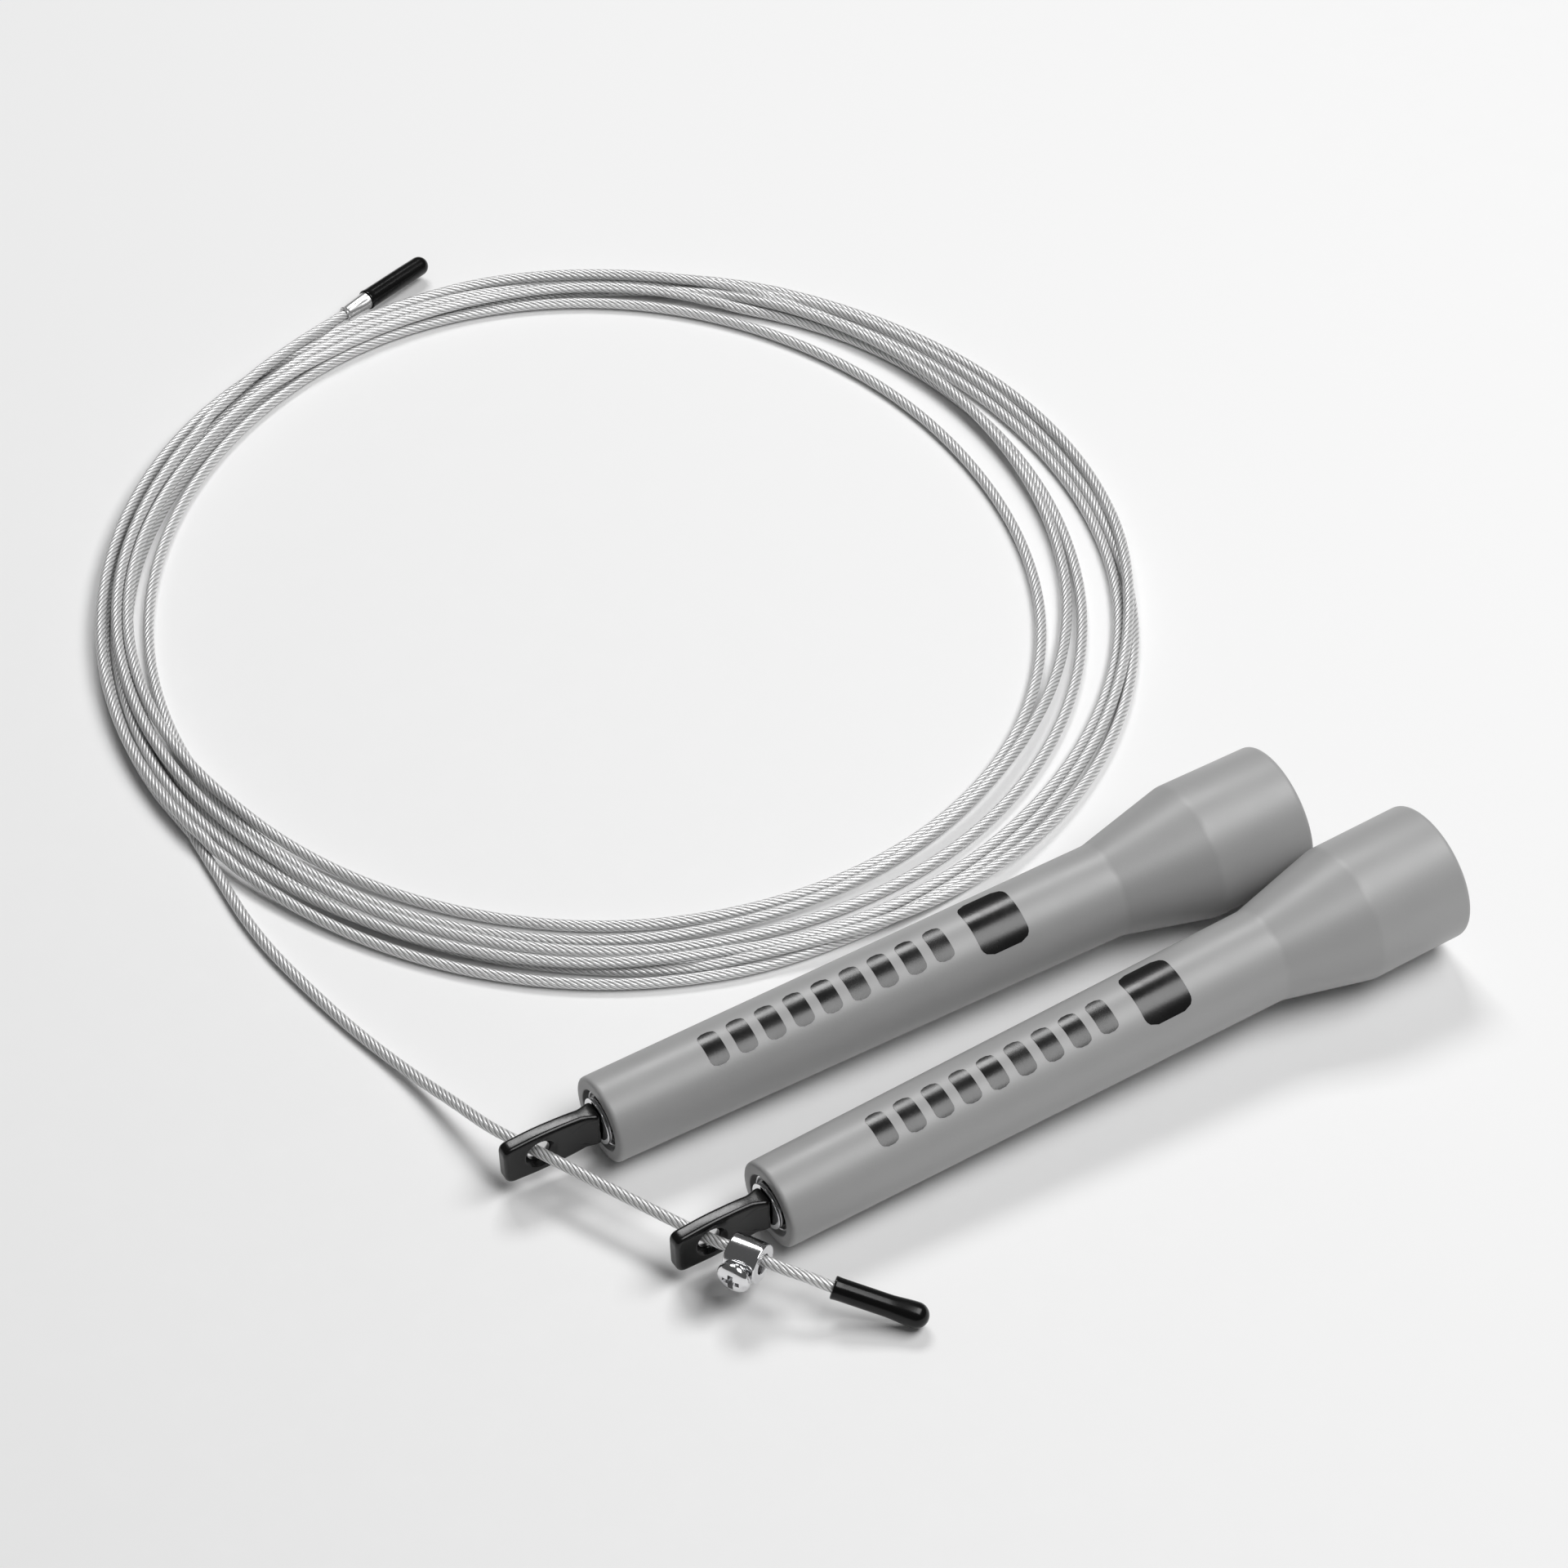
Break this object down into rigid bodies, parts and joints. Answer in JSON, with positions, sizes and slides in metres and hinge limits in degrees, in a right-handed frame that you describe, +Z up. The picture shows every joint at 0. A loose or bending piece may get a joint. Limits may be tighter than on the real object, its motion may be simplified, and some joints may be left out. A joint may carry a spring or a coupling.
{
  "type": "jump rope",
  "caption": "Speed jump rope stored flat: two hollow flared handles spin on ball bearings behind swivel eyes, on one coiled coated steel cable with a screw clamp and end caps.",
  "frame": {"origin": "on the surface that the rope lies on, under the middle of the box round the two handles and their swivel eyes", "axes": "+X from the swivel eyes to the rear ends of the handles, +Y from the handles to the coil, +Z up"},
  "size_m": [0.225, 0.3262, 0.0298],
  "materials": {
    "grey_handle_plastic": "satin moulded",
    "bearing_steel": "polished",
    "dark_shield": "blackened, glossy",
    "cage_steel": "pressed sheet",
    "plated_steel": "bright plated",
    "white_nylon": "natural nylon",
    "black_gloss_plate": "gloss black powder coat",
    "coated_cable": "clear vinyl over stranded steel",
    "crimped_aluminium": "satin",
    "black_vinyl": "dipped, glossy",
    "chrome_clamp": "mirror plated"
  },
  "bodies": {
    "cable": {"cable_coil": "coated_cable", "cable_lead": "coated_cable", "cable_tail": "coated_cable", "far_ferrule": "crimped_aluminium", "far_end_cap": "black_vinyl", "near_end_cap": "black_vinyl"},
    "eye_a": {"bearing_inner_ring_a": "bearing_steel", "spacer_a": "plated_steel", "front_washer_a": "plated_steel", "rear_washer_a": "plated_steel", "lock_nut_a": "plated_steel", "lock_nut_insert_a": "white_nylon", "swivel_eye_a": "black_gloss_plate"},
    "handle_a": {"grip_a": "grey_handle_plastic", "bearing_outer_ring_a": "bearing_steel", "bearing_shields_a": "dark_shield"},
    "cage_a": {"bearing_cage_a": "cage_steel", "bearing_balls_a": "bearing_steel"},
    "eye_b": {"bearing_inner_ring_b": "bearing_steel", "spacer_b": "plated_steel", "front_washer_b": "plated_steel", "rear_washer_b": "plated_steel", "lock_nut_b": "plated_steel", "lock_nut_insert_b": "white_nylon", "swivel_eye_b": "black_gloss_plate"},
    "handle_b": {"grip_b": "grey_handle_plastic", "bearing_outer_ring_b": "bearing_steel", "bearing_shields_b": "dark_shield"},
    "cage_b": {"bearing_cage_b": "cage_steel", "bearing_balls_b": "bearing_steel"},
    "clamp": {"clamp_barrel": "chrome_clamp"},
    "screw": {"clamp_screw": "chrome_clamp"}
  },
  "joints": [
    {"name": "eye_swing_a", "type": "hinge", "parent": "cable", "child": "eye_a", "pos_m": [-0.0908, 0.0182, 0.0085], "axis": [0.4232, -0.906, 0], "range_deg": [0, 170]},
    {"name": "handle_spin_a", "type": "hinge", "parent": "eye_a", "child": "handle_a", "pos_m": [-0.0766, 0.0179, 0.00904], "axis": [0.999, -0.0192, 0.04], "continuous": true},
    {"name": "cage_spin_a", "type": "hinge", "parent": "eye_a", "child": "cage_a", "pos_m": [-0.0766, 0.0179, 0.00904], "axis": [0.999, -0.0192, 0.04], "continuous": true},
    {"name": "eye_swing_b", "type": "hinge", "parent": "cable", "child": "eye_b", "pos_m": [-0.0738, -0.0182, 0.0085], "axis": [0.4232, -0.906, 0], "range_deg": [0, 170]},
    {"name": "handle_spin_b", "type": "hinge", "parent": "eye_b", "child": "handle_b", "pos_m": [-0.0596, -0.0179, 0.00904], "axis": [0.999, 0.0192, 0.04], "continuous": true},
    {"name": "cage_spin_b", "type": "hinge", "parent": "eye_b", "child": "cage_b", "pos_m": [-0.0596, -0.0179, 0.00904], "axis": [0.999, 0.0192, 0.04], "continuous": true},
    {"name": "clamp_slide", "type": "slide", "parent": "cable", "child": "clamp", "axis": [0.503, -0.8643, 0], "range_m": [-0.0005, 0.003]},
    {"name": "screw_out", "type": "slide", "parent": "clamp", "child": "screw", "axis": [-0.8637, -0.5027, -0.0349], "range_m": [0, 0.0019]}
  ],
  "couplings": [
    {"joint": "cage_spin_a", "follows": "handle_spin_a", "ratio": 0.6111},
    {"joint": "cage_spin_b", "follows": "handle_spin_b", "ratio": 0.6111}
  ]
}
